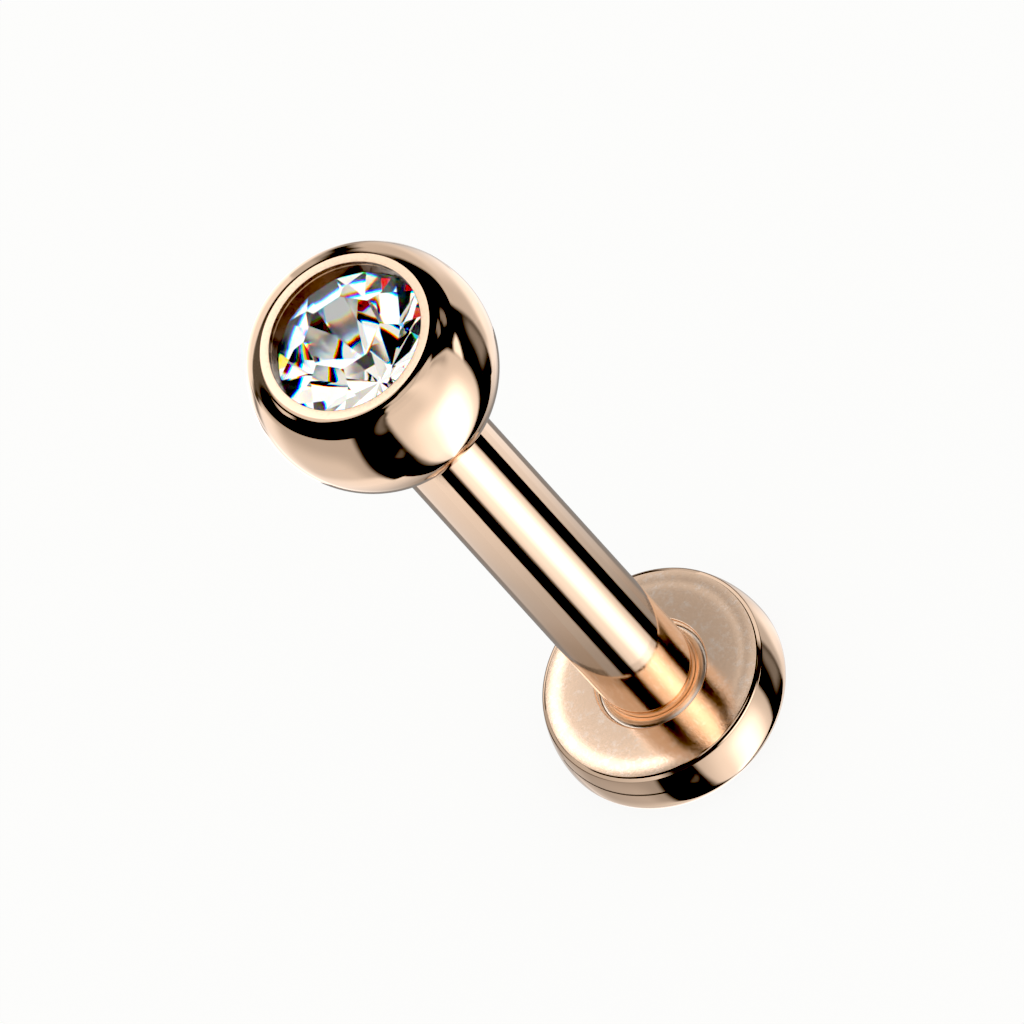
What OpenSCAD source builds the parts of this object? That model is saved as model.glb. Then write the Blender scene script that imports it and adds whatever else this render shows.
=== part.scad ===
// Labret stud, in millimetres: a flat back disc, a straight post and a ball that carries a round
// faceted stone. It stands on the underside of its disc, with the post along +Z.
// The ball and its pin are one piece in use: they turn out of the post and lift off upwards.

/* [Back disc] */
// Diameter of the back disc
disc_d = 3.97; // [3.2:0.01:6]
// Thickness of the back disc
disc_t = 1.2; // [1:0.05:1.8]
// Radius of the rounded upper edge of the disc
disc_top_round = 0.1; // [0.03:0.01:0.3]
// Radius of the bulged side between the two rounded edges
disc_side_round = 1.9; // [1:0.1:1.9]
// Radius of the rounded lower edge of the disc, which ends at its widest line
disc_low_round = 0.5; // [0.2:0.01:0.6]
// Depth of the seat that the foot of the post stands in
seat_depth = 0.13; // [0.06:0.01:0.25]
// Width that the mouth of the seat shows round the post
seat_mouth = 0.135; // [0.05:0.005:0.3]
// How far the wall of the seat leans outwards, from its floor to its mouth
seat_lean = 0.03; // [0.01:0.005:0.04]
// Metal left under the spigot of the post
disc_web = 0.3; // [0.15:0.05:0.5]

/* [Post] */
// Diameter of the post, 14 gauge
post_d = 1.63; // [1.4:0.01:2.4]
// Wearing length, from the face of the disc to the seat of the ball
wear_len = 9.5; // [5:0.1:16]
// Diameter of the spigot that is pressed into the disc
spigot_d = 1.2; // [0.8:0.05:1.35]
// Bevel round the top end of the post
post_bevel = 0.06; // [0.02:0.01:0.12]

/* [Pin] */
// Diameter of the pin that joins the ball to the post
pin_d = 1; // [0.6:0.05:1.1]
// Length of the pin inside the post
pin_reach = 2.4; // [1.2:0.1:4]
// Bevel round both ends of the pin
pin_bevel = 0.12; // [0.05:0.01:0.2]
// Room left past each end of the pin
pin_end_room = 0.1; // [0.05:0.01:0.2]

/* [Ball] */
// Diameter of the ball
ball_d = 4; // [3.8:0.05:6]
// Outer diameter of the flat rim round the stone
rim_d = 2.88; // [2.85:0.01:3.1]
// Radius of the rounded shoulder between the rim and the ball
shoulder_round = 0.36; // [0.15:0.01:0.4]
// Width of the flat under the ball that shows round the post
ball_flat_rim = 0.1; // [0.05:0.01:0.3]
// Metal left between the cup and the hole for the pin
ball_web = 0.3; // [0.15:0.05:0.4]

/* [Stone] */
// Diameter of the stone
stone_d = 2.58; // [2:0.01:2.6]
// Diameter of the stone's table, across its corners
table_d = 1.3; // [1:0.05:1.6]
// Number of main facets round the stone
stone_mains = 8; // [8:1:12]
// Slope of the main facets above the girdle, in degrees
crown_angle = 36.5; // [30:0.5:42]
// Slope of the main facets below the girdle, in degrees
pavilion_angle = 41; // [38:0.5:43]
// How far down its ridge each break facet starts above the girdle, as a share of the ridge
crown_break_share = 0.32; // [0.2:0.02:0.5]
// How far down its ridge each break facet reaches below the girdle, as a share of the ridge
pavilion_break_share = 0.6; // [0.4:0.02:0.75]
// Thickness of the girdle, the stone's upright edge
girdle_t = 0.06; // [0.03:0.01:0.12]
// Diameter of the small flat at the bottom point of the stone
culet_d = 0.06; // [0.04:0.01:0.12]
// Depth of the girdle below the rim of the ball
stone_sink = 0.38; // [0.2:0.01:0.5]
// Turn of the table's first corner from +X, in degrees
stone_turn = 11.5; // [0:0.5:44.5]

/* [Fits] */
// Gap round and under pieces that are pressed or set together
press_gap = 0.01; // [0.005:0.005:0.03]
// Gap between the pin and the bore of the post, on each side
turn_gap = 0.03; // [0.02:0.005:0.06]
// Gap between the end of the post and the seat of the ball
seat_gap = 0.01; // [0.005:0.005:0.05]

/* [Hidden] */
$fn = 96;
// Overshoot of cutting shapes past the surface that they cut
over = 0.05;
// Largest share of the metal outside the rim that the shoulder may take
shoulder_most = 0.65;

disc_r = disc_d / 2;
post_r = post_d / 2;
spigot_r = spigot_d / 2;
pin_r = pin_d / 2;
ball_r = ball_d / 2;
rim_r = rim_d / 2;
stone_r = stone_d / 2;
cup_r = stone_r + press_gap;

// Heights of the disc and the post
face_z = disc_t;
seat_z = face_z - seat_depth;
mouth_r = post_r + seat_mouth;
seat_r = mouth_r - seat_lean;
low_round_x = disc_r - disc_low_round;
// The circle of the upper edge touches the circle of the bulged side from inside
side_x = disc_r - disc_side_round;
top_round_z = disc_t - disc_top_round;
top_angle = asin((top_round_z - disc_low_round) / (disc_side_round - disc_top_round));
top_round_x = side_x + (disc_side_round - disc_top_round) * cos(top_angle);
spigot_hole_z = disc_web;
post_foot_z = seat_z + press_gap;
post_top_z = face_z + wear_len;

// Heights of the ball
ball_flat_r = post_r + ball_flat_rim;
ball_flat_z = post_top_z + seat_gap;
ball_z = ball_flat_z + sqrt(pow(ball_r, 2) - pow(ball_flat_r, 2));
// The shoulder's circle touches the ball from inside and the rim from below, and leaves part of
// the metal outside the rim to the ball
shoulder_r = min(shoulder_round, shoulder_most * (ball_r - rim_r));
shoulder_z = ball_z + sqrt(pow(ball_r - shoulder_r, 2) - pow(rim_r, 2));
shoulder_angle = atan((shoulder_z - ball_z) / rim_r);
rim_z = shoulder_z + shoulder_r;

// Heights of the stone
half_sector = 180 / stone_mains;
table_r = table_d / 2;
table_side_r = table_r * cos(half_sector);
girdle_top_z = rim_z - stone_sink;
girdle_low_z = girdle_top_z - girdle_t;
table_z = girdle_top_z + (stone_r - table_side_r) * tan(crown_angle);
culet_z = girdle_low_z - (stone_r - culet_d / 2) * tan(pavilion_angle);
// Ridges run between the main facets, and would end at this radius in the girdle's planes
ridge_end_r = stone_r / cos(half_sector);
crown_apex_r = table_r + (ridge_end_r - table_r) * crown_break_share;
crown_apex_z = table_z - (crown_apex_r - table_r) * cos(half_sector) * tan(crown_angle);
crown_break_angle = atan((crown_apex_z - girdle_top_z) / (stone_r - crown_apex_r));
pavilion_apex_r = ridge_end_r * (1 - pavilion_break_share);
pavilion_apex_z = girdle_low_z - (ridge_end_r - pavilion_apex_r) * cos(half_sector) * tan(pavilion_angle);
pavilion_break_angle = atan((girdle_low_z - pavilion_apex_z) / (stone_r - pavilion_apex_r));

// Heights of the cup and the pin
cup_floor_z = culet_z - press_gap;
cup_floor_r = culet_d;
cup_seat_z = cup_floor_z + (cup_r - cup_floor_r) * tan(pavilion_angle);
pin_hole_z = cup_floor_z - ball_web;
pin_top_z = pin_hole_z - pin_end_room;
pin_tip_z = post_top_z - pin_reach;
bore_floor_z = pin_tip_z - pin_end_room;

rose_gold = "#D9B297";
bare_steel = "#B9B4AE";
clear_stone = "#E6EEF2";

// Turned bar from z0 to z1, with a bevel at its lower and upper end
module turned_bar(r, z0, z1, low_bevel = 0, top_bevel = 0) {
    rotate_extrude()
        polygon([
            [0, z0], [r - low_bevel, z0], [r, z0 + low_bevel],
            [r, z1 - top_bevel], [r - top_bevel, z1], [0, z1]
        ]);
}

// Slice of a circle centred on (x, z), between two angles less than 180 degrees apart
module slice(x, z, radius, low_angle, high_angle) {
    middle = (low_angle + high_angle) / 2;
    reach = 3 * radius;
    translate([x, z])
        intersection() {
            circle(radius);
            polygon([
                [0, 0],
                reach * [cos(low_angle), sin(low_angle)],
                reach * [cos(middle), sin(middle)],
                reach * [cos(high_angle), sin(high_angle)]
            ]);
        }
}

// Half of the disc's section: flat above and below, with a bulged side between two rounded edges
module disc_section() {
    polygon([
        [0, 0], [low_round_x, 0], [low_round_x, disc_low_round],
        [top_round_x, top_round_z], [top_round_x, disc_t], [0, disc_t]
    ]);
    translate([low_round_x, disc_low_round])
        circle(disc_low_round);
    translate([top_round_x, top_round_z])
        circle(disc_top_round);
    // On a small disc the centre of the bulged side lies past the axis, where the section ends
    intersection() {
        slice(side_x, disc_low_round, disc_side_round, 0, top_angle);
        translate([0, disc_low_round - over])
            square([disc_d, disc_t]);
    }
}

module back_disc() {
    color(rose_gold)
        rotate_extrude()
            difference() {
                disc_section();
                // Hole for the spigot, and the seat over it
                polygon([
                    [-over, spigot_hole_z], [spigot_r + press_gap, spigot_hole_z],
                    [spigot_r + press_gap, seat_z], [seat_r, seat_z], [mouth_r, face_z],
                    [mouth_r, face_z + over], [-over, face_z + over]
                ]);
            }
}

module post() {
    color(rose_gold)
        difference() {
            union() {
                turned_bar(post_r, post_foot_z, post_top_z, top_bevel = post_bevel);
                turned_bar(spigot_r, spigot_hole_z + press_gap, post_foot_z + over);
            }
            // Bore for the pin
            translate([0, 0, bore_floor_z])
                cylinder(r = pin_r + turn_gap, h = post_top_z + over - bore_floor_z);
        }
}

// Half of the ball's section: the sphere up to the shoulder, the shoulder and the flat rim
module ball_section() {
    slice(0, ball_z, ball_r, -90, shoulder_angle);
    translate([0, ball_z])
        square([rim_r, rim_z - ball_z]);
    translate([rim_r, shoulder_z])
        circle(shoulder_r);
}

module ball() {
    color(rose_gold)
        rotate_extrude()
            difference() {
                ball_section();
                // Flat that seats on the post
                translate([0, ball_z - ball_d])
                    square([ball_r, ball_d - ball_z + ball_flat_z]);
                // Cup for the stone
                polygon([
                    [-over, cup_floor_z], [cup_floor_r, cup_floor_z], [cup_r, cup_seat_z],
                    [cup_r, rim_z + over], [-over, rim_z + over]
                ]);
                // Hole for the pin
                translate([-over, ball_flat_z - over])
                    square([pin_r + press_gap + over, pin_hole_z - ball_flat_z + over]);
            }
}

module pin() {
    color(bare_steel)
        turned_bar(pin_r, pin_tip_z, pin_top_z, pin_bevel, pin_bevel);
}

// Block that cuts a facet: its face passes through the point at (r, z) and slopes down outwards
module facet_above(angle, r, z) {
    size = 3 * stone_d;
    translate([r, 0, z])
        rotate([0, angle, 0])
            translate([-size / 2, -size / 2, 0])
                cube([size, size, size]);
}

// The same for a facet under the girdle, which slopes up outwards
module facet_below(angle, r, z) {
    translate([0, 0, z])
        mirror([0, 0, 1])
            facet_above(angle, r, 0);
}

module stone() {
    color(clear_stone)
        difference() {
            translate([0, 0, culet_z])
                cylinder(r = stone_r, h = table_z - culet_z);
            for (i = [0 : stone_mains - 1]) {
                // Main facets stand between the table's corners
                rotate(stone_turn + (2 * i + 1) * half_sector) {
                    facet_above(crown_angle, stone_r, girdle_top_z);
                    facet_below(pavilion_angle, stone_r, girdle_low_z);
                }
                // Break facets stand under each corner
                rotate(stone_turn + 2 * i * half_sector) {
                    facet_above(crown_break_angle, stone_r, girdle_top_z);
                    facet_below(pavilion_break_angle, stone_r, girdle_low_z);
                }
            }
        }
}

back_disc();
post();
ball();
pin();
stone();
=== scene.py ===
import math

import bmesh
import bpy
from mathutils import Matrix, Vector


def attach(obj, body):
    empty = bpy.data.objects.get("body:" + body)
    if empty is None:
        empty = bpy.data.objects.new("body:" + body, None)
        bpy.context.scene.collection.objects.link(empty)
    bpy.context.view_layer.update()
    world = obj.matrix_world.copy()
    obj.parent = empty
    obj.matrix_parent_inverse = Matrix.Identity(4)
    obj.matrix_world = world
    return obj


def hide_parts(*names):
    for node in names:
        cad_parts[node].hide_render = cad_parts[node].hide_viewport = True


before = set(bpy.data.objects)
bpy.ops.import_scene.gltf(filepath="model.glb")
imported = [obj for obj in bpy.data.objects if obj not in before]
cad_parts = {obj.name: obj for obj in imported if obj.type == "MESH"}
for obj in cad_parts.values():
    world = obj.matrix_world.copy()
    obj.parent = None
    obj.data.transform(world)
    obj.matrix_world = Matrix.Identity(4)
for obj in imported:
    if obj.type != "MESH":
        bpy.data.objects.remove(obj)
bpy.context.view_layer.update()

MM = 0.001
TURNS = 224                     # steps round each turned piece, enough for a clean mirror finish
ARC_STEP = math.radians(1.25)   # steps along each rounded profile
SHARP = math.radians(20)        # edges sharper than this stay crisp
LOOP = 0.02                     # an extra ring this close to a corner keeps its shading crisp

# Sizes of the stud in millimetres, as in the part's source
PRESS_GAP, TURN_GAP, SEAT_GAP = 0.01, 0.03, 0.01
DISC_R, DISC_T, DISC_WEB = 1.985, 1.2, 0.3
DISC_TOP_ROUND, DISC_SIDE_ROUND, DISC_LOW_ROUND = 0.1, 1.9, 0.5
SEAT_DEPTH, SEAT_MOUTH, SEAT_LEAN = 0.13, 0.135, 0.03
POST_R, WEAR_LEN, POST_BEVEL, SPIGOT_R = 0.815, 9.5, 0.06, 0.6
PIN_R, PIN_REACH, PIN_END_ROOM = 0.5, 2.4, 0.1
BALL_R, RIM_R, SHOULDER, BALL_FLAT_RIM, BALL_WEB = 2.0, 1.44, 0.36, 0.1, 0.3
STONE_R, CULET_R, GIRDLE_T, STONE_SINK = 1.29, 0.03, 0.06, 0.38
PAVILION_SLOPE = math.tan(math.radians(41))
# Finer forms that only the scene has: the slight crown of the disc's face and two small rounds
CROWN_X, CROWN_ROUND, MOUTH_ROUND, FOOT_ROUND = 1.45, 3, 0.03, 0.1

SEAT_Z = DISC_T - SEAT_DEPTH
MOUTH_R = POST_R + SEAT_MOUTH
SEAT_R = MOUTH_R - SEAT_LEAN
SPIGOT_HOLE_R, SPIGOT_Z = SPIGOT_R + PRESS_GAP, DISC_WEB + PRESS_GAP
POST_FOOT_Z = SEAT_Z + PRESS_GAP
POST_TOP_Z = DISC_T + WEAR_LEN
BORE_R = PIN_R + TURN_GAP
BORE_FLOOR_Z = POST_TOP_Z - PIN_REACH - PIN_END_ROOM
BALL_FLAT_R, BALL_FLAT_Z = POST_R + BALL_FLAT_RIM, POST_TOP_Z + SEAT_GAP
BALL_Z = BALL_FLAT_Z + math.sqrt(BALL_R**2 - BALL_FLAT_R**2)
SHOULDER_Z = BALL_Z + math.sqrt((BALL_R - SHOULDER) ** 2 - RIM_R**2)
RIM_Z = SHOULDER_Z + SHOULDER
GIRDLE_LOW_Z = RIM_Z - STONE_SINK - GIRDLE_T
CULET_Z = GIRDLE_LOW_Z - (STONE_R - CULET_R) * PAVILION_SLOPE
CUP_R, CUP_FLOOR_R = STONE_R + PRESS_GAP, 2 * CULET_R
CUP_FLOOR_Z = CULET_Z - PRESS_GAP
CUP_SEAT_Z = CUP_FLOOR_Z + (CUP_R - CUP_FLOOR_R) * PAVILION_SLOPE
PIN_HOLE_R, PIN_HOLE_Z = PIN_R + PRESS_GAP, CUP_FLOOR_Z - BALL_WEB


# Nodes and colours

def linear(hex_code):
    """The linear colour that an sRGB hex value stands for."""
    parts = [int(hex_code[i:i + 2], 16) / 255 for i in (1, 3, 5)]
    return tuple(c / 12.92 if c <= 0.04045 else ((c + 0.055) / 1.055) ** 2.4 for c in parts) + (1,)


WHITE = linear("#FFFFFF")


def add(tree, kind, inputs=(), **settings):
    """Adds one node. A value in inputs is a number, a colour or another node's output."""
    node = tree.nodes.new("ShaderNode" + kind)
    for name, value in settings.items():
        setattr(node, name, value)
    for key, value in dict(inputs).items():
        if isinstance(value, bpy.types.NodeSocket):
            tree.links.new(value, node.inputs[key])
        else:
            node.inputs[key].default_value = value
    return node


def new_material(name):
    material = bpy.data.materials.new(name)
    material.use_nodes = True
    material.node_tree.nodes.clear()
    return material, material.node_tree


def finish_material(material, surface):
    add(material.node_tree, "OutputMaterial", {"Surface": surface})
    return material


def bearing_of(tree, ways):
    """Degrees from the front towards +X, for the X and Y of a place or a direction."""
    front = add(tree, "Math", {0: ways["Y"], 1: -1}, operation="MULTIPLY").outputs[0]
    bearing = add(tree, "Math", {0: ways["X"], 1: front}, operation="ARCTAN2").outputs[0]
    return add(tree, "Math", {0: bearing}, operation="DEGREES").outputs[0]


def round_the_post(tree):
    """A place in millimetres round the post: seen from above with 1 as third number, its height,
    its distance from the middle of the post and its bearing."""
    place = add(tree, "TexCoord").outputs["Object"]
    place = add(tree, "VectorMath", {0: place, "Scale": 1 / MM}, operation="SCALE").outputs[0]
    ways = add(tree, "SeparateXYZ", {"Vector": place}).outputs
    above = add(tree, "CombineXYZ", {"X": ways["X"], "Y": ways["Y"], "Z": 1}).outputs[0]
    across = add(tree, "CombineXYZ", {"X": ways["X"], "Y": ways["Y"]}).outputs[0]
    out = add(tree, "VectorMath", {0: across}, operation="LENGTH").outputs["Value"]
    return above, ways["Z"], out, bearing_of(tree, ways)


def inside(tree, place, planes, soft):
    """Share of a place that lies inside all planes, with a soft edge. The product of a plane's
    three numbers with the place is the distance inside it."""
    share = None
    for plane in planes:
        depth = add(tree, "VectorMath", {0: place, 1: plane}, operation="DOT_PRODUCT").outputs["Value"]
        part = add(tree, "MapRange", {"Value": depth, "From Min": -soft / 2, "From Max": soft / 2},
                   interpolation_type="SMOOTHSTEP").outputs[0]
        if share is not None:
            part = add(tree, "Math", {0: share, 1: part}, operation="MULTIPLY").outputs[0]
        share = part
    return share


def ramp(tree, value, stops):
    """Brightness along a value, through pairs of value and brightness."""
    low, high = stops[0][0], stops[-1][0]
    share = add(tree, "MapRange", {"Value": value, "From Min": low, "From Max": high})
    curve = add(tree, "ValToRGB", {"Fac": share.outputs[0]})
    while len(curve.color_ramp.elements) < len(stops):
        curve.color_ramp.elements.new(0.5)
    for element, (place, level) in zip(curve.color_ramp.elements, stops):
        element.position = (place - low) / (high - low)
        element.color = (level, level, level, 1)
    return curve.outputs[0]


# Camera, at the angle of the photograph: the post leans 35.2 degrees away from the line of
# sight, and the picture is rolled so that it runs to the upper left

LEAN, ROLL = math.radians(35.24), math.radians(47.8)
FRAME_MM = 16.151               # width of the picture at the stud
BALL_PIXEL = (372.85, 367.25)   # where the middle of the ball stands in the picture
IMAGE_SIZE = 1024
CAMERA_REACH = 100              # millimetres from the stud, which a view without perspective keeps


def make_camera():
    back = Vector((0, -math.sin(LEAN), math.cos(LEAN)))
    post_up = Vector((0, math.cos(LEAN), math.sin(LEAN)))
    across = post_up.cross(back)
    up = post_up * math.sin(ROLL) + across * math.cos(ROLL)
    right = up.cross(back)
    scale = FRAME_MM / IMAGE_SIZE
    off_right = (BALL_PIXEL[0] - IMAGE_SIZE / 2) * scale
    off_up = (IMAGE_SIZE / 2 - BALL_PIXEL[1]) * scale
    aim = Vector((0, 0, BALL_Z)) - right * off_right - up * off_up
    camera = bpy.data.objects.new("camera", bpy.data.cameras.new("camera"))
    bpy.context.scene.collection.objects.link(camera)
    camera.data.type = "ORTHO"
    camera.data.ortho_scale = FRAME_MM * MM
    camera.data.clip_start, camera.data.clip_end = 0.005, 1.5
    axes = Matrix((right, up, back)).transposed()
    camera.matrix_world = Matrix.Translation((aim + back * CAMERA_REACH) * MM) @ axes.to_4x4()
    bpy.context.scene.camera = camera


make_camera()
bpy.context.scene.view_settings.view_transform = "Standard"
# Deep blacks, as in a picture of jewellery
BLACK_LEVEL = 0.035
bpy.context.scene.view_settings.use_curve_mapping = True
bpy.context.scene.view_settings.curve_mapping.black_level = (BLACK_LEVEL, BLACK_LEVEL, BLACK_LEVEL)


# Light: the stud stands in a white light tent. Each panel is a patch of the tent, given by its
# corners in degrees (bearing from the front towards +X, height above the level), anticlockwise
# and without a hollow side, then the width of its soft edge and its brightness. Later panels lie
# over earlier ones.

TENT = (
    # Left wall, brighter towards its far and lower end
    ("left wall", ((-141, -76), (-84, -76), (-64, -60), (-56, -32), (-53, -8), (-53, 2), (-141, 2)),
     8, 0.55),
    ("left wall low", ((-170, -90), (-88, -90), (-70, -54), (-68, -26), (-170, -26)), 22, 0.78),
    ("left wall end", ((-170, -90), (-124, -90), (-119, -50), (-119, -12), (-170, -12)), 24, 1.05),
    ("left wall foot", ((-128, -90), (-96, -90), (-66, -64), (-66, -53), (-128, -53)), 8, 1.02),
    ("left wall corner", ((-160, -68), (-136, -68), (-136, -44), (-160, -44)), 14, 1.6),
    # Right wall
    ("right wall", ((95, -55), (104, -71), (118, -76), (172, -76), (172, 50), (135, 31), (95, -14)),
     7, 0.66),
    ("right wall middle", ((112, -90), (150, -90), (150, -2), (124, -2)), 26, 0.88),
    ("right wall glow", ((106, -56), (116, -62), (158, -58), (158, -46), (130, -34), (106, -42)), 14, 1.2),
    ("right wall foot", ((112, -90), (132, -90), (132, -52), (98, -52)), 8, 1.1),
    # Wall behind the stud, with dark struts at both ends
    ("back left", ((-200, -80), (-143, -80), (-143, 4), (-166, 34), (-200, 48)), 7, 1.0),
    ("back left low", ((-200, -80), (-152, -80), (-152, -6), (-200, 2)), 20, 1.35),
    ("back right", ((171, -80), (200, -80), (200, 42), (173, 42)), 4, 0.6),
    ("back right low", ((171, -80), (200, -80), (200, -4), (171, -4)), 20, 1.25),
    ("strut left", ((-142, -22), (-134, -22), (-133, 10), (-141, 6)), 6, 0.07),
    ("strut left high", ((-141, 4), (-132, 8), (-156, 50), (-180, 52)), 6, 0.14),
    ("strut left low", ((-150, -42), (-143, -42), (-141, -24), (-147, -24)), 8, 0.2),
    ("strut right", ((161, -10), (169, -10), (170, 28), (162, 28)), 6, 0.01),
    ("strut right high", ((161, 22), (170, 22), (179, 54), (172, 54)), 5, 0.02),
    ("strut right low", ((161, -46), (168, -46), (169, -6), (161, -6)), 8, 0.35),
    # Lamp in front and overhead: an even glow, then its hot middle
    ("lamp low", ((-22, -120), (52, -120), (59, -10), (53, 44), (-22, 44)), 6, 0.84),
    ("lamp high", ((-22, 34), (53, 34), (57, 62), (-22, 62)), 6, 0.8),
    ("lamp top", ((-22, 57), (55, 57), (102, 80), (-36, 80)), 6, 0.75),
    ("lamp overhead", ((-44, 80), (200, 80), (200, 100), (-44, 100)), 5, 0.7),
    ("lamp overhead left", ((-200, 84), (-34, 84), (-34, 100), (-200, 100)), 4, 0.7),
    ("lamp ridge", ((13, -10), (29, -10), (32, 74), (14, 74)), 18, 1.02),
    ("lamp dim side", ((45, -4), (53, -4), (53, 52), (45, 52)), 10, 0.5),
    ("lamp glow", ((-34, -120), (52, -120), (50, -30), (42, -12), (-8, -12)), 24, 1.3),
    ("lamp middle", ((-2, -120), (37, -120), (36, -22), (10, -22)), 24, 2.5),
    # Small gleams from the gaps in the tent
    ("gleam right", ((58, -22), (66, -17), (73, -11), (65, -8), (59, -10)), 4, 1.4),
    ("patch right", ((72, -47), (92, -50), (92, -24), (80, -24)), 12, 0.3),
    ("gleam right high", ((79, 17), (88, 22), (103, 44), (96, 47), (80, 32)), 6, 0.3),
    ("gleam right top", ((79, 44), (87, 46), (110, 57), (110, 63), (82, 54)), 5, 0.3),
    ("gleam left", ((-36, -35), (-31, -40), (-26, -35), (-26, -27)), 5, 0.14),
    ("gleam left high", ((-34, -4), (-25, -4), (-24, 60), (-31, 60)), 8, 0.2),
    ("gleam by rim", ((-150, 48), (-130, 42), (-125, 48), (-140, 54)), 4, 0.8),
    ("rim edge light", ((-200, 51), (-158, 53), (-146, 62), (-166, 66), (-200, 60)), 4, 0.85),
)
# The stone gathers its light from overhead, where the tent is bright between dark struts
OVERHEAD = (
    ("strut front low", ((-6, -14), (47, -14), (47, 18), (-6, 18)), 2, 0.02),
    ("grey front right", ((36, 4), (49, 4), (49, 14), (36, 14)), 2, 0.9),
    ("bright front", ((48, -3), (62, -3), (62, 13), (48, 13)), 2, 2.3),
    ("strut front right", ((50, 15), (68, 15), (68, 33), (35, 38), (35, 26)), 2, 0.03),
    ("strut front left", ((-44, 36), (-13, 36), (-13, 44), (-44, 44)), 2, 0.02),
    ("strut front middle", ((-34, 21), (-17, 21), (-17, 29), (-34, 29)), 2, 0.02),
    ("grey front left", ((-32, 29), (-21, 29), (-21, 36), (-32, 36)), 3, 0.7),
    ("grey front", ((-24, 4), (-11, 4), (-11, 19), (-24, 19)), 3, 0.6),
    ("strut left high", ((-67, 58), (-36, 58), (-36, 70.5), (-67, 70.5)), 2, 0.04),
    ("strut left", ((-78, 46), (-66, 46), (-66, 53), (-78, 53)), 2, 0.04),
    ("strut right high", ((79, 60), (92, 60), (92, 67), (79, 67)), 2, 0.04),
    ("strut right", ((112, 8), (150, 8), (140, 60), (124, 60)), 2, 0.04),
    ("camera", ((-3, 50), (20, 50), (20, 59), (-3, 59)), 2, 0.05),
)
TENT_FILL = 0.002               # light from everywhere else, nearly black for the metal
OVERHEAD_FILL = 1.5             # and bright for the stone
PALE = linear("#FDFDFC")
LAMP_BEARING, LAMP_REACH = 11, 47   # middle and half width of the lamp, in degrees
WALL_LOSS, LAMP_LOSS = 0.3, 0.08    # share of its light that each loses in a second mirroring
# The tent gets a ray mirrored once at depth 2 and one mirrored twice at depth 3. Rays deeper
# than 4 have been through the stone. A card gets each of them one lower.
TWICE, THROUGH_STONE = 2.5, 4.5


def edge_planes(corners):
    """The plane of each edge, for places made of bearing, height and 1."""
    planes = []
    for (x0, y0), (x1, y1) in zip(corners, corners[1:] + corners[:1]):
        length = math.hypot(x1 - x0, y1 - y0)
        a, b = (y0 - y1) / length, (x1 - x0) / length
        planes.append((a, b, -a * x0 - b * y0))
    return planes


def panel_light(tree, place, fill, panels):
    """The brightness of each direction, given by its place in degrees."""
    level = fill
    for _, corners, soft, brightness in panels:
        share = inside(tree, place, edge_planes(corners), soft)
        level = add(tree, "Mix", {"Factor": share, 2: level, 3: brightness}, data_type="FLOAT").outputs[0]
    return level


def light_tent():
    world = bpy.data.worlds.new("light_tent")
    bpy.context.scene.world = world
    world.use_nodes = True
    # The mirror finish finds the panels by itself, so they aren't sampled as lamps
    world.cycles.sampling_method = "NONE"
    tree = world.node_tree
    tree.nodes.clear()
    ways = add(tree, "SeparateXYZ", {"Vector": add(tree, "TexCoord").outputs["Generated"]}).outputs
    bearing = bearing_of(tree, ways)
    height = add(tree, "Math", {0: ways["Z"]}, operation="ARCSINE").outputs[0]
    height = add(tree, "Math", {0: height}, operation="DEGREES").outputs[0]
    # The post and the disc mirror in each other a wall that is as tall as it is deep
    path = add(tree, "LightPath").outputs
    twice = add(tree, "Math", {0: path["Ray Depth"], 1: TWICE}, operation="GREATER_THAN").outputs[0]
    steep = add(tree, "Math", {0: height}, operation="ABSOLUTE").outputs[0]
    down = add(tree, "Math", {0: steep, 1: -1}, operation="MULTIPLY").outputs[0]
    folded = add(tree, "Mix", {"Factor": twice, 2: height, 3: down}, data_type="FLOAT").outputs[0]
    at_lamp = add(tree, "Math", {0: bearing, 1: LAMP_BEARING, 2: LAMP_REACH}, operation="COMPARE").outputs[0]
    loss = add(tree, "Math", {0: at_lamp, 1: WALL_LOSS - LAMP_LOSS, 2: -WALL_LOSS},
               operation="MULTIPLY_ADD").outputs[0]
    dimmer = add(tree, "Math", {0: twice, 1: loss, 2: 1}, operation="MULTIPLY_ADD").outputs[0]
    levels = []
    for up, fill, panels in ((folded, TENT_FILL, TENT), (height, OVERHEAD_FILL, OVERHEAD)):
        place = add(tree, "CombineXYZ", {"X": bearing, "Y": up, "Z": 1}).outputs[0]
        levels.append(panel_light(tree, place, fill, panels))
    levels[0] = add(tree, "Math", {0: levels[0], 1: dimmer}, operation="MULTIPLY").outputs[0]
    # What the stone shows, also where the wall of the cup sends a ray up
    deep = add(tree, "Math", {0: path["Ray Depth"], 1: THROUGH_STONE}, operation="GREATER_THAN").outputs[0]
    stone = add(tree, "Math", {0: deep, 1: path["Is Transmission Ray"]}, operation="MAXIMUM").outputs[0]
    shown = add(tree, "Background", {"Color": PALE}).outputs[0]
    for share, level in zip((path["Is Glossy Ray"], stone), levels):
        light = add(tree, "Background", {"Color": level}).outputs[0]
        shown = add(tree, "MixShader", {0: share, 1: shown, 2: light}).outputs[0]
    add(tree, "OutputWorld", {"Surface": shown})


light_tent()


# White cards close to the stud, which only its mirror finish sees

def card(name, points, faces, surface):
    """A sheet in front of what the metal mirrors. The surface function gives its shader."""
    mesh = bpy.data.meshes.new(name)
    mesh.from_pydata([tuple(c * MM for c in point) for point in points], [], faces)
    board = bpy.data.objects.new(name, mesh)
    bpy.context.scene.collection.objects.link(board)
    material, tree = new_material("lit_" + name)
    mesh.materials.append(finish_material(material, surface(tree)))
    material.cycles.emission_sampling = "NONE"
    for ray in ("camera", "diffuse", "shadow", "transmission"):
        setattr(board, "visible_" + ray, False)


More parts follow.
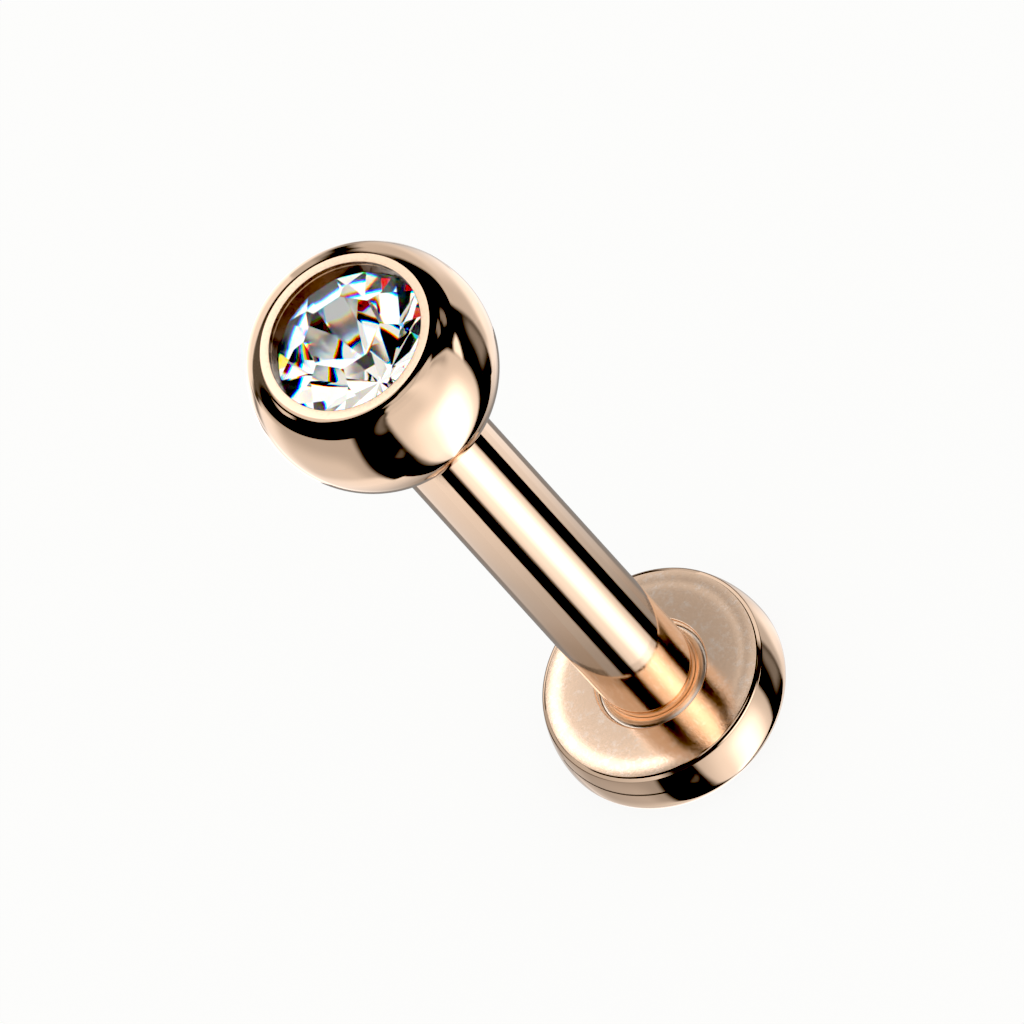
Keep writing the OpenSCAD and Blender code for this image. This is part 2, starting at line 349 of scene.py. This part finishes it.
CARD_STEPS = 48
CARD_REACH = 8                  # millimetres from a flat to its card
NEARER = 2                      # the post and the ball, this much nearer, look through the card


def mirror_card(name, z, half, light):
    """A round card in the line that a flat at height z mirrors to the camera, which the flat
    shows at full size."""
    centre = Vector((0, CARD_REACH * math.sin(LEAN), z + CARD_REACH * math.cos(LEAN)))
    slope = Vector((0, math.cos(LEAN), -math.sin(LEAN)))
    ways = [2 * math.pi * i / CARD_STEPS for i in range(CARD_STEPS)]
    points = [
        tuple(centre + Vector((half * math.cos(a), 0, 0)) + slope * (half * math.cos(LEAN) * math.sin(a)))
        for a in ways]

    def surface(tree):
        # Place on the flat whose mirror image this point of the card is, in millimetres
        longer = 1 / math.cos(LEAN) ** 2
        seat = add(tree, "Mapping", {
            "Vector": add(tree, "TexCoord").outputs["Object"],
            "Location": (0, -centre.y * longer, 0), "Scale": (1 / MM, longer / MM, 0)}).outputs[0]
        path = add(tree, "LightPath").outputs
        far = add(tree, "Math", {0: path["Ray Length"], 1: (CARD_REACH - NEARER) * MM},
                  operation="GREATER_THAN").outputs[0]
        clear = add(tree, "BsdfTransparent", {"Color": WHITE}).outputs[0]
        lit = add(tree, "Emission", {"Color": WHITE, "Strength": light(tree, seat)}).outputs[0]
        return add(tree, "MixShader", {0: far, 1: clear, 2: lit}).outputs[0]

    card(name, points, [tuple(range(CARD_STEPS))], surface)


# Round cards for the rim and the disc, in millimetres
RIM_CARD_R, DISC_CARD_R = 1.85, 4.4
RIM_INSET = 0.03                # the card for the rim is dark up to this far inside the cup
DISC_BLEND = 0.6                # the disc's left and right halves blend up to this far from the middle


def rim_light(tree, seat):
    """Brighter to the left, and dark inside, so that the table of the stone stays clear."""
    side = add(tree, "SeparateXYZ", {"Vector": seat}).outputs["X"]
    out = add(tree, "VectorMath", {0: seat}, operation="LENGTH").outputs["Value"]
    at_rim = add(tree, "Math", {0: out, 1: CUP_R - RIM_INSET}, operation="GREATER_THAN").outputs[0]
    level = ramp(tree, side, ((-1.5, 1.6), (1.5, 1.22)))
    return add(tree, "Math", {0: level, 1: at_rim}, operation="MULTIPLY").outputs[0]


def disc_light(tree, seat):
    """Even over the flat, brighter on the left, with a bright ring for the disc's rounded edge."""
    side = add(tree, "SeparateXYZ", {"Vector": seat}).outputs["X"]
    out = add(tree, "VectorMath", {0: seat}, operation="LENGTH").outputs["Value"]
    left = ramp(tree, out, (
        (0, 0.77), (1.5, 0.79), (1.8, 1.0), (2.2, 1.9), (2.9, 2.2), (3.2, 1.2), (3.6, 0.6)))
    right = ramp(tree, out, (
        (0, 0.44), (1.5, 0.45), (1.8, 0.62), (2.2, 0.85), (2.6, 0.35), (3.0, 0.6), (3.6, 0.8)))
    share = add(tree, "MapRange", {
        "Value": side, "From Min": -DISC_BLEND, "From Max": DISC_BLEND}).outputs[0]
    return add(tree, "Mix", {"Factor": share, 2: left, 3: right}, data_type="FLOAT").outputs[0]


# Rings round the post and the disc, in millimetres
RING_STEPS = 96
SHADE_START, SHADE_END, SHADE_Z = DISC_R - 0.11, 7.1, DISC_T - 0.072
WARM_START, WARM_END = 1.85, 3.6    # the gold's colour on the walls fades between these
SIDE_R, SIDE_LOW_Z, SIDE_TOP_Z = DISC_R + 0.045, -0.6, DISC_T - 0.08
LINE_Z, LINE_HALF = 0.755, 0.019    # height and half width of the dark line on the disc's left flank
LINE_BEARING, LINE_REACH = -62, 34  # its middle and half length, in degrees
LINE_SHARE = 0.08               # share of the light that it lets through
EDGE_LOW_Z, EDGE_BEND_Z = DISC_T - 0.078, DISC_T + 0.03
EDGE_TOP_R, EDGE_TOP_Z = DISC_R - 0.125, DISC_T + 0.04
EDGE_REACH = 0.3                # only a ray from the disc's own edge is as short as this
EDGE_END = 120                  # bearing at which the edge light ends on both sides
EDGE_LAMP_BEARING, EDGE_LAMP_REACH = 20, 22     # middle and half width of its lamp, in degrees
EDGE_DIM_Z, EDGE_DARK_Z = DISC_T + 0.02, DISC_T + 0.032     # its lamp fades between these
EDGE_DARK = 0.02                # to this brightness


def ring_points(*rims):
    """Points round each rim, given by its radius and height."""
    ways = [2 * math.pi * i / RING_STEPS for i in range(RING_STEPS)]
    return [(r * math.cos(a), r * math.sin(a), z) for r, z in rims for a in ways]


def ring_faces(bands=1):
    faces = []
    for low in range(0, bands * RING_STEPS, RING_STEPS):
        high = low + RING_STEPS
        for i in range(RING_STEPS):
            j = (i + 1) % RING_STEPS
            faces.append((low + i, low + j, high + j, high + i))
    return faces


def strip_planes(start, end):
    """The planes of the strip between two bearings as the post mirrors them."""
    planes = []
    for bearing, side in ((start, 1), (end, -1)):
        way = math.radians(bearing)
        a, b = side * math.cos(way), side * math.sin(way)
        x, y = POST_R * math.sin(way / 2), -POST_R * math.cos(way / 2)
        planes.append((a, b, -a * x - b * y))
    return planes


def shade_for_post(tree):
    """The walls fade towards the foot of the post, and the lamp less so. Dim strips show at its edges."""
    above, _, out, bearing = round_the_post(tree)
    walls = ramp(tree, out, (
        (1.85, 0.36), (2.5, 0.41), (3.2, 0.52), (4, 0.6), (4.7, 0.72), (5.4, 0.82), (SHADE_END, 1)))
    lamp = ramp(tree, out, ((1.85, 0.8), (4, 0.88), (SHADE_END, 1)))
    at_lamp = add(tree, "Math", {0: bearing, 1: LAMP_BEARING, 2: LAMP_REACH}, operation="COMPARE").outputs[0]
    # Near the disc the walls take on the colour of the gold
    warmth = add(tree, "MapRange", {
        "Value": out, "From Min": WARM_START, "From Max": WARM_END, "To Min": 1, "To Max": 0}).outputs[0]
    warm = add(tree, "Mix", {"Factor": warmth, 6: WHITE, 7: linear("#FFF2E6")}, data_type="RGBA").outputs[2]
    warm = add(tree, "VectorMath", {0: warm, "Scale": walls}, operation="SCALE").outputs[0]
    share = add(tree, "Mix", {"Factor": at_lamp, 6: warm, 7: lamp}, data_type="RGBA").outputs[2]
    surface = add(tree, "BsdfTransparent", {"Color": share}).outputs[0]
    # Bearings where each strip starts and ends, the width of its soft edge and its brightness
    for start, end, soft, level in ((133, -133, 0.5, 0.3), (-76, -50, 0.3, walls), (86, 106, 0.3, walls)):
        part = inside(tree, above, strip_planes(start, end), soft)
        strip = add(tree, "Emission", {"Color": WHITE, "Strength": level}).outputs[0]
        surface = add(tree, "MixShader", {0: part, 1: surface, 2: strip}).outputs[0]
    return surface


def shade_for_side(tree):
    """Takes the glare off both flanks of the disc, with the thin dark line that its left flank mirrors."""
    _, up, _, bearing = round_the_post(tree)
    share = ramp(tree, bearing, (
        (-180, 0.5), (-90, 0.5), (-70, 0.62), (-34, 0.75), (-26, 0.8), (50, 0.8),
        (78, 0.95), (90, 0.75), (110, 0.75), (180, 0.7)))
    line = add(tree, "Math", {0: up, 1: LINE_Z, 2: LINE_HALF}, operation="COMPARE").outputs[0]
    left = add(tree, "Math", {0: bearing, 1: LINE_BEARING, 2: LINE_REACH}, operation="COMPARE").outputs[0]
    dark = add(tree, "Math", {0: line, 1: left}, operation="MULTIPLY").outputs[0]
    share = add(tree, "Mix", {"Factor": dark, 2: share, 3: LINE_SHARE}, data_type="FLOAT").outputs[0]
    return add(tree, "BsdfTransparent", {"Color": share}).outputs[0]


def light_for_edge(tree):
    """What the rounded top edge of the disc mirrors: wall, strut, lamp, strut and wall from left to
    right. All that is further away looks through it."""
    _, up, _, bearing = round_the_post(tree)
    path = add(tree, "LightPath").outputs
    level = ramp(tree, bearing, (
        (-EDGE_END, 0.5), (-60, 0.62), (-34, 0.8), (-26, 0.04), (0, 0.04), (6, 1.3), (20, 1.8),
        (34, 1.3), (41, 0.04), (58, 0.04), (64, 0.9), (EDGE_END, 0.95)))
    # The lamp ends in a dark line, but not where the post mirrors the edge once more
    high = add(tree, "MapRange", {"Value": up, "From Min": EDGE_DIM_Z, "From Max": EDGE_DARK_Z}).outputs[0]
    lamp = add(tree, "Math", {0: bearing, 1: EDGE_LAMP_BEARING, 2: EDGE_LAMP_REACH},
               operation="COMPARE").outputs[0]
    once = add(tree, "Math", {0: path["Ray Depth"], 1: TWICE - 1}, operation="LESS_THAN").outputs[0]
    off = add(tree, "Math", {0: high, 1: lamp}, operation="MULTIPLY").outputs[0]
    off = add(tree, "Math", {0: off, 1: once}, operation="MULTIPLY").outputs[0]
    level = add(tree, "Mix", {"Factor": off, 2: level, 3: EDGE_DARK}, data_type="FLOAT").outputs[0]
    front = add(tree, "Math", {0: bearing, 1: 0, 2: EDGE_END}, operation="COMPARE").outputs[0]
    near = add(tree, "Math", {0: path["Ray Length"], 1: EDGE_REACH * MM}, operation="LESS_THAN").outputs[0]
    shown = add(tree, "Math", {0: front, 1: near}, operation="MULTIPLY").outputs[0]
    clear = add(tree, "BsdfTransparent", {"Color": WHITE}).outputs[0]
    lit = add(tree, "Emission", {"Color": WHITE, "Strength": level}).outputs[0]
    return add(tree, "MixShader", {0: shown, 1: clear, 2: lit}).outputs[0]


mirror_card("card_for_rim", RIM_Z, RIM_CARD_R, rim_light)
mirror_card("card_for_disc", DISC_T, DISC_CARD_R, disc_light)
# Only what the post mirrors goes down through this ring, which starts at the edge of the disc
card("shade_for_post", ring_points((SHADE_START, SHADE_Z), (SHADE_END, SHADE_Z)), ring_faces(),
     shade_for_post)
card("shade_for_side", ring_points((SIDE_R, SIDE_LOW_Z), (SIDE_R, SIDE_TOP_Z)), ring_faces(), shade_for_side)
card("light_for_edge", ring_points((SIDE_R, EDGE_LOW_Z), (SIDE_R, EDGE_BEND_Z), (EDGE_TOP_R, EDGE_TOP_Z)),
     ring_faces(2), light_for_edge)


FLOOR_HALF = 1.0                # half the floor's width, in metres
FLOOR_GLOW = 0.93               # share of its own light, so that only a faint shadow shows


def pale_floor():
    mesh = bpy.data.meshes.new("floor")
    corners = [(x * FLOOR_HALF, y * FLOOR_HALF, 0) for x, y in ((-1, -1), (1, -1), (1, 1), (-1, 1))]
    mesh.from_pydata(corners, [], [(0, 1, 2, 3)])
    floor = bpy.data.objects.new("floor", mesh)
    bpy.context.scene.collection.objects.link(floor)
    material, tree = new_material("floor_white_board")
    matte = add(tree, "BsdfDiffuse", {"Color": linear("#FEFDFC")}).outputs[0]
    shine = add(tree, "Emission", {"Color": PALE, "Strength": 1}).outputs[0]
    mixed = add(tree, "MixShader", {0: FLOOR_GLOW, 1: matte, 2: shine}).outputs[0]
    mesh.materials.append(finish_material(material, mixed))
    # The tent's own walls show in the metal from below, as they do where a stud stands on glass
    floor.visible_glossy = floor.visible_transmission = False


pale_floor()


# Turned pieces

def arc(cx, cz, radius, start, end):
    """Points on a circle in the profile plane, from start to end in degrees, without the first."""
    start, end = math.radians(start), math.radians(end)
    steps = max(2, math.ceil(abs(end - start) / ARC_STEP))
    return [(cx + radius * math.cos(a), cz + radius * math.sin(a))
            for a in (start + (end - start) * i / steps for i in range(1, steps + 1))]


def turned(name, profile):
    """A solid turned from a profile in millimetres, from axis to axis."""
    mesh = bpy.data.meshes.new(name)
    bm = bmesh.new()
    ways = [2 * math.pi * i / TURNS for i in range(TURNS)]
    rings = []
    for r, z in profile:
        if r == 0:
            rings.append([bm.verts.new((0, 0, z * MM))])
        else:
            rings.append([bm.verts.new((r * MM * math.cos(a), r * MM * math.sin(a), z * MM)) for a in ways])
    for low, high in zip(rings, rings[1:]):
        for i in range(TURNS):
            j = (i + 1) % TURNS
            corners = [low[i % len(low)], low[j % len(low)], high[j % len(high)], high[i % len(high)]]
            bm.faces.new(list(dict.fromkeys(corners)))
    bmesh.ops.recalc_face_normals(bm, faces=bm.faces)
    for face in bm.faces:
        face.smooth = True
    for edge in bm.edges:
        if len(edge.link_faces) == 2 and edge.calc_face_angle() > SHARP:
            edge.smooth = False
    bm.to_mesh(mesh)
    bm.free()
    piece = bpy.data.objects.new(name, mesh)
    bpy.context.scene.collection.objects.link(piece)
    return piece


def disc_profile():
    side_x = DISC_R - DISC_SIDE_ROUND
    side_reach, crown_reach = DISC_SIDE_ROUND - DISC_TOP_ROUND, CROWN_ROUND - DISC_TOP_ROUND
    crown_z = DISC_T - CROWN_ROUND
    edge_z = DISC_T - DISC_TOP_ROUND
    # The small round of the edge touches both the side and the crown, which a few rounds settle
    for _ in range(6):
        lean = math.asin((edge_z - DISC_LOW_ROUND) / side_reach)
        top_x = side_x + side_reach * math.cos(lean)
        crown_lean = math.asin((top_x - CROWN_X) / crown_reach)
        edge_z = crown_z + crown_reach * math.cos(crown_lean)
    lean, crown_lean = math.degrees(lean), math.degrees(crown_lean)
    low_x = DISC_R - DISC_LOW_ROUND
    mouth_x = MOUTH_R + MOUTH_ROUND
    mouth_end = 167             # degrees at which the round of the mouth meets the leaning wall
    return [(0, 0), (low_x / 2, 0), (low_x, 0),
            *arc(low_x, DISC_LOW_ROUND, DISC_LOW_ROUND, -90, 0),
            *arc(side_x, DISC_LOW_ROUND, DISC_SIDE_ROUND, 0, lean),
            *arc(top_x, edge_z, DISC_TOP_ROUND, lean, 90 - crown_lean),
            *arc(CROWN_X, crown_z, CROWN_ROUND, 90 - crown_lean, 90),
            (mouth_x, DISC_T), *arc(mouth_x, DISC_T - MOUTH_ROUND, MOUTH_ROUND, 90, mouth_end),
            (SEAT_R + LOOP / 2, SEAT_Z + LOOP), (SEAT_R, SEAT_Z), (SPIGOT_HOLE_R, SEAT_Z),
            (SPIGOT_HOLE_R, DISC_WEB), (0, DISC_WEB)]


def post_profile():
    foot_x, foot_z = POST_R + FOOT_ROUND, POST_FOOT_Z + FOOT_ROUND
    bevel_z = POST_TOP_Z - POST_BEVEL
    return [(0, SPIGOT_Z), (SPIGOT_R, SPIGOT_Z), (SPIGOT_R, POST_FOOT_Z), (foot_x, POST_FOOT_Z),
            *arc(foot_x, foot_z, FOOT_ROUND, 270, 180),
            (POST_R, foot_z + LOOP), (POST_R, bevel_z - LOOP), (POST_R, bevel_z),
            (POST_R - POST_BEVEL, POST_TOP_Z), (BORE_R, POST_TOP_Z), (BORE_R, BORE_FLOOR_Z),
            (0, BORE_FLOOR_Z)]


def ball_profile():
    low = -math.degrees(math.asin((BALL_Z - BALL_FLAT_Z) / BALL_R))
    high = math.degrees(math.atan2(SHOULDER_Z - BALL_Z, RIM_R))
    return [(0, PIN_HOLE_Z), (PIN_HOLE_R, PIN_HOLE_Z), (PIN_HOLE_R, BALL_FLAT_Z), (BALL_FLAT_R, BALL_FLAT_Z),
            *arc(0, BALL_Z, BALL_R, low, high), *arc(RIM_R, SHOULDER_Z, SHOULDER, high, 90),
            (CUP_R, RIM_Z), (CUP_R, RIM_Z - LOOP), (CUP_R, CUP_SEAT_Z),
            (CUP_FLOOR_R, CUP_FLOOR_Z), (0, CUP_FLOOR_Z)]


# Materials

# Marks that the making leaves, in millimetres
POLISH_WAVE = 1.0               # polishing leaves slow waves, a few micrometres deep
BUFF_SCRATCH = 0.04             # the real ones are 2 um wide, drawn 20 times coarser to show at all
TURNED_GRAIN = 0.05             # spiral of the lathe's finishing cut, blurred by tumbling
PALE_SPECK = 0.16               # tumbling leaves these on the satin
TOOL_UNIT = 0.314               # the wave texture draws three tool marks in this, 0.1 mm apart

# Where each finish starts, in millimetres round the post
FACE_LOW_Z = DISC_T - 0.02
SEAT_TOP_Z, SEAT_EDGE_R = DISC_T - 0.03, MOUTH_R + 0.01
# The cup's wall takes a painted highlight line at this height and half width
CUP_EDGE_R, CUP_HIGHLIGHT_Z, CUP_HIGHLIGHT_HALF = CUP_R + 0.005, RIM_Z - 0.1, 0.012
DARK_PATCH_BEARING, DARK_PATCH_REACH = 14, 23   # middle and half width of the darker patch at the front, in degrees
FOIL_TOP_Z = GIRDLE_LOW_Z - 0.002


def satin_face(tree, place, finish):
    """The face of the disc keeps the satin grain of the lathe, a little cloudy where it was tumbled."""
    _, up, _, _ = round_the_post(tree)
    on_face = add(tree, "Math", {0: up, 1: FACE_LOW_Z}, operation="GREATER_THAN").outputs[0]
    grain = add(tree, "TexNoise", {
        "Vector": place, "Scale": 1 / (TURNED_GRAIN * MM), "Detail": 4, "Roughness": 0.7}).outputs["Fac"]
    satin = add(tree, "MapRange", {"Value": grain, "From Min": 0.3, "From Max": 0.7,
                                   "To Min": 0.11, "To Max": 0.17}).outputs[0]
    finish["Roughness"] = add(tree, "Mix", {"Factor": on_face, 2: finish["Roughness"], 3: satin},
                              data_type="FLOAT").outputs[0]
    finish["Normal"] = add(tree, "Bump", {"Height": grain, "Distance": 0.0008 * MM, "Strength": on_face,
                                          "Normal": finish["Normal"]}).outputs[0]
    clouds = add(tree, "TexNoise", {
        "Vector": place, "Scale": 1 / (PALE_SPECK * MM), "Detail": 6, "Roughness": 0.75}).outputs["Fac"]
    cloudy = add(tree, "MapRange", {"Value": clouds, "From Min": 0.5, "From Max": 0.72}).outputs[0]
    cloudy = add(tree, "Math", {0: cloudy, 1: on_face}, operation="MULTIPLY").outputs[0]
    finish["Base Color"] = add(tree, "Mix", {
        "Factor": cloudy, 6: finish["Base Color"], 7: linear("#FFECDC")}, data_type="RGBA").outputs[2]


def dull_seat(tree, place, finish):
    """The seat round the foot of the post, which no buff reaches, is a dull, paler band."""
    _, up, out, _ = round_the_post(tree)
    low = add(tree, "Math", {0: up, 1: SEAT_TOP_Z}, operation="LESS_THAN").outputs[0]
    close = add(tree, "Math", {0: out, 1: SEAT_EDGE_R}, operation="LESS_THAN").outputs[0]
    in_seat = add(tree, "Math", {0: low, 1: close}, operation="MULTIPLY").outputs[0]
    finish["Roughness"] = add(tree, "Mix", {"Factor": in_seat, 2: finish["Roughness"], 3: 0.28},
                              data_type="FLOAT").outputs[0]
    finish["Base Color"] = add(tree, "Mix", {
        "Factor": in_seat, 6: finish["Base Color"], 7: linear("#F9E8D8")}, data_type="RGBA").outputs[2]


def cup_wall_painted_light(tree, place, finish):
    """The wall round the stone, seen directly, is painted dark brown for shade, with a thin painted
    highlight line.
    Seen through the stone it is painted bright grey for light, with a darker patch at the front."""
    _, up, out, bearing = round_the_post(tree)
    in_cup = add(tree, "Math", {0: out, 1: CUP_EDGE_R}, operation="LESS_THAN").outputs[0]
    # Seen directly: painted shade in dark brown, with a thin painted highlight line
    line = add(tree, "Math", {0: up, 1: CUP_HIGHLIGHT_Z, 2: CUP_HIGHLIGHT_HALF}, operation="COMPARE").outputs[0]
    painted_dark_brown = add(tree, "Mix", {"Factor": line, 6: linear("#5A3B28"), 7: linear("#C9A283")},
                data_type="RGBA").outputs[2]
    # Seen through the stone: painted bright grey light, darker at the front
    dark_front_patch = add(tree, "Math", {0: bearing, 1: DARK_PATCH_BEARING, 2: DARK_PATCH_REACH}, operation="COMPARE").outputs[0]
    painted_bright_grey = add(tree, "Mix", {"Factor": dark_front_patch, 6: linear("#E4DFDA"), 7: linear("#2A2522")},
               data_type="RGBA").outputs[2]
    # Camera rays get the painted shade and highlight, all other rays the painted bright grey
    seen = add(tree, "LightPath").outputs["Is Camera Ray"]
    wall = add(tree, "Mix", {"Factor": seen, 6: painted_bright_grey, 7: painted_dark_brown}, data_type="RGBA").outputs[2]
    finish["Base Color"] = add(tree, "Mix", {"Factor": in_cup, 6: finish["Base Color"], 7: wall},
                               data_type="RGBA").outputs[2]
    finish["Roughness"] = add(tree, "Mix", {"Factor": in_cup, 2: finish["Roughness"], 3: 0.2},
                              data_type="FLOAT").outputs[0]


def rose_gold_plating(name, details):
    """Rose gold plated over lathe-turned, mirror-polished steel: a warm, sharp mirror with faint
    polishing marks. Each detail changes the finish on its part of the piece, and the cup's detail paints
    shade and highlights into its colour."""
    material, tree = new_material(name)
    place = add(tree, "TexCoord").outputs["Object"]
    waves = add(tree, "TexNoise", {
        "Vector": place, "Scale": 1 / (POLISH_WAVE * MM), "Detail": 2}).outputs["Fac"]
    # The buff moves along the post, so the scratches are long that way
    stretch = add(tree, "Mapping", {"Vector": place, "Scale": (1, 1, 0.08)}).outputs[0]
    scratches = add(tree, "TexNoise", {
        "Vector": stretch, "Scale": 1 / (BUFF_SCRATCH * MM), "Detail": 3}).outputs["Fac"]
    bump = add(tree, "Bump", {"Height": waves, "Strength": 0.05, "Distance": 0.02 * MM}).outputs[0]
    bump = add(tree, "Bump", {"Height": scratches, "Strength": 0.05, "Distance": 0.001 * MM,
                              "Normal": bump}).outputs[0]
    gloss = add(tree, "MapRange", {"Value": scratches, "From Min": 0.3, "From Max": 0.7,
                                   "To Min": 0.05, "To Max": 0.09}).outputs[0]
    tint = add(tree, "Mix", {"Factor": waves, 6: linear("#F6D5B9"), 7: linear("#F8D9BF")},
               data_type="RGBA").outputs[2]
    finish = {"Base Color": tint, "Roughness": gloss, "Normal": bump}
    for detail in details:
        detail(tree, place, finish)
    steel = add(tree, "BsdfPrincipled", {"Metallic": 1, **finish}).outputs[0]
    return finish_material(material, steel)


def bare_steel():
    """Turned surgical steel, unplated: cool grey, with fine rings from the lathe tool."""
    material, tree = new_material("turned_surgical_steel")
    place = add(tree, "TexCoord").outputs["Object"]
    rings = add(tree, "TexWave", {"Vector": place, "Scale": 1 / (TOOL_UNIT * MM), "Distortion": 0.4},
                bands_direction="Z").outputs["Fac"]
    bump = add(tree, "Bump", {"Height": rings, "Strength": 0.3, "Distance": 0.004 * MM}).outputs[0]
    gloss = add(tree, "MapRange", {"Value": rings, "To Min": 0.22, "To Max": 0.34}).outputs[0]
    tint = add(tree, "Mix", {"Factor": rings, 6: linear("#C9C6C2"), 7: linear("#D8D6D3")},
               data_type="RGBA").outputs[2]
    steel = add(tree, "BsdfPrincipled", {
        "Base Color": tint, "Metallic": 1, "Roughness": gloss, "Normal": bump}).outputs[0]
    return finish_material(material, steel)


CRYSTAL_IOR = 1.575
COLOUR_SPREAD = 0.035           # a little more than in real crystal, so that it shows


def lead_crystal():
    """Cut and polished lead crystal with a silver foil behind it: clear, bright and full of
    small flashes of colour."""
    material, tree = new_material("lead_crystal_foil_backed")
    _, up, _, _ = round_the_post(tree)
    foiled = add(tree, "Math", {0: up, 1: FOIL_TOP_Z}, operation="LESS_THAN").outputs[0]
    clear = add(tree, "BsdfGlass", {"Color": WHITE, "Roughness": 0, "IOR": CRYSTAL_IOR}).outputs[0]
    # Red, green and blue bend by different amounts on their way in
    split = None
    for tint, more in (("#FF0000", -COLOUR_SPREAD), ("#00FF00", 0), ("#0000FF", COLOUR_SPREAD)):
        glass = add(tree, "BsdfGlass", {
            "Color": linear(tint), "Roughness": 0, "IOR": CRYSTAL_IOR + more}).outputs[0]
        split = glass if split is None else add(tree, "AddShader", {0: split, 1: glass}).outputs[0]
    seen = add(tree, "LightPath").outputs["Is Camera Ray"]
    clear = add(tree, "MixShader", {0: seen, 1: clear, 2: split}).outputs[0]
    foil = add(tree, "BsdfGlossy", {"Color": linear("#F2F2F0"), "Roughness": 0.01}).outputs[0]
    return finish_material(material, add(tree, "MixShader", {0: foiled, 1: clear, 2: foil}).outputs[0])


for name, node, body, profile, details in (
    ("ball_shell", "ball", "top", ball_profile(), (cup_wall_painted_light,)),
    ("post_bar", "post", "back", post_profile(), (dull_seat,)),
    ("disc_base", "back_disc", "back", disc_profile(), (satin_face, dull_seat)),
):
    piece = turned(name, profile)
    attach(piece, body)
    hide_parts(node)
    piece.data.materials.append(rose_gold_plating("rose_gold_plate_on_" + name, details))

for node, material in (("pin", bare_steel()), ("stone", lead_crystal())):
    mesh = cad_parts[node].data
    mesh.materials.clear()
    mesh.materials.append(material)
